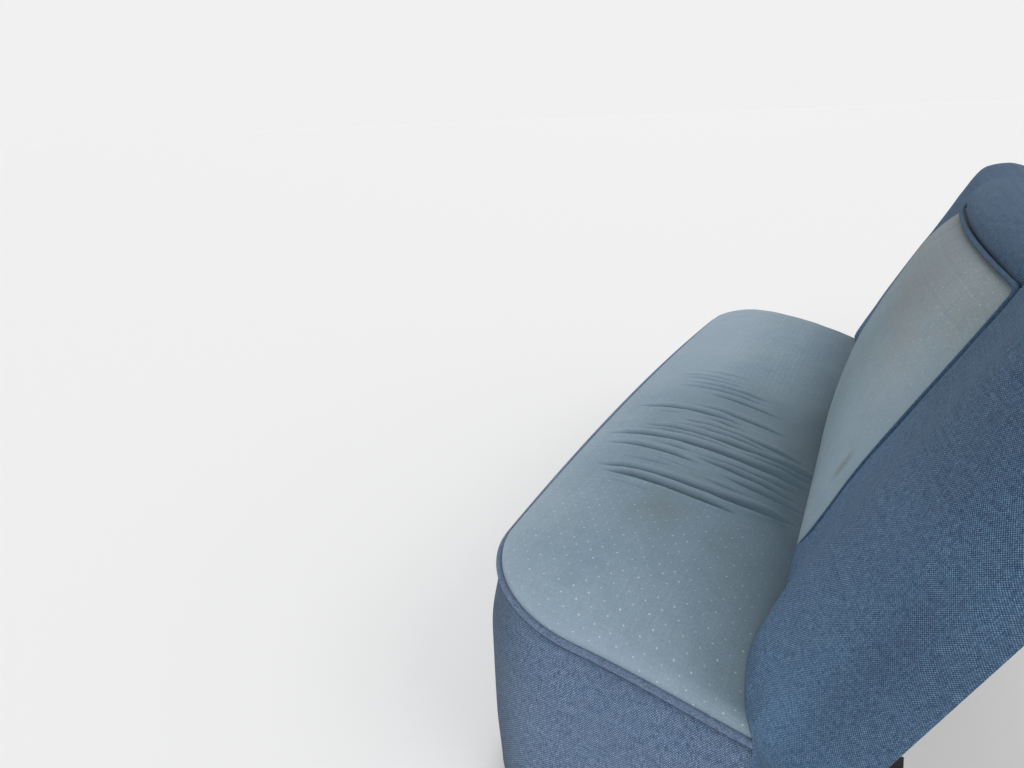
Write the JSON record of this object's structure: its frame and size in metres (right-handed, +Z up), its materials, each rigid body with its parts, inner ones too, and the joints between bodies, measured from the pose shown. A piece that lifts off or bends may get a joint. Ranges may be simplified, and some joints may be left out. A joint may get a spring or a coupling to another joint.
{
  "type": "rear bench seat of a sedan",
  "caption": "Sprung rear bench seat with a crowned light cushion, a reclined backrest with a light centre and dark tweed wings, and a steel frame with coil springs.",
  "frame": {"origin": "middle of the cushion frame's four floor bolts, on the floor", "axes": "+X to the car's left, +Y to its rear, +Z up; the seat faces -Y"},
  "size_m": [1.56, 0.7135, 0.7438],
  "materials": {
    "light_cloth": "dotted upholstery cloth",
    "tweed": "coarse dark blue tweed",
    "piping": "cloth piping",
    "facing": "plain black cotton",
    "hessian": "jute sacking",
    "frame_paint": "black stove enamel, satin",
    "spring_wire": "bare spring wire, oiled"
  },
  "bodies": {
    "root": {"cushion_front_rail": "frame_paint", "cushion_rear_rail": "frame_paint", "cushion_side_rail_left": "frame_paint", "cushion_side_rail_right": "frame_paint", "cushion_slats": "frame_paint", "cushion_coil_springs": "spring_wire", "cushion_border_wire": "spring_wire", "cushion_tie_wires": "spring_wire", "cushion_hessian": "hessian", "cushion_pad": "light_cloth", "cushion_boxing": "tweed", "cushion_rear_facing": "facing", "cushion_welt": "piping", "back_top_rail": "frame_paint", "back_bottom_rail": "frame_paint", "back_side_rail_left": "frame_paint", "back_side_rail_right": "frame_paint", "back_slats": "frame_paint", "back_coil_springs": "spring_wire", "back_border_wire": "spring_wire", "back_tie_wires": "spring_wire", "back_hessian": "hessian", "back_insert": "light_cloth", "back_wing_left": "tweed", "back_wing_right": "tweed", "back_top_roll": "tweed", "back_welt": "piping", "back_floor_legs": "frame_paint", "back_shelf_hooks": "frame_paint"}
  },
  "joints": []
}
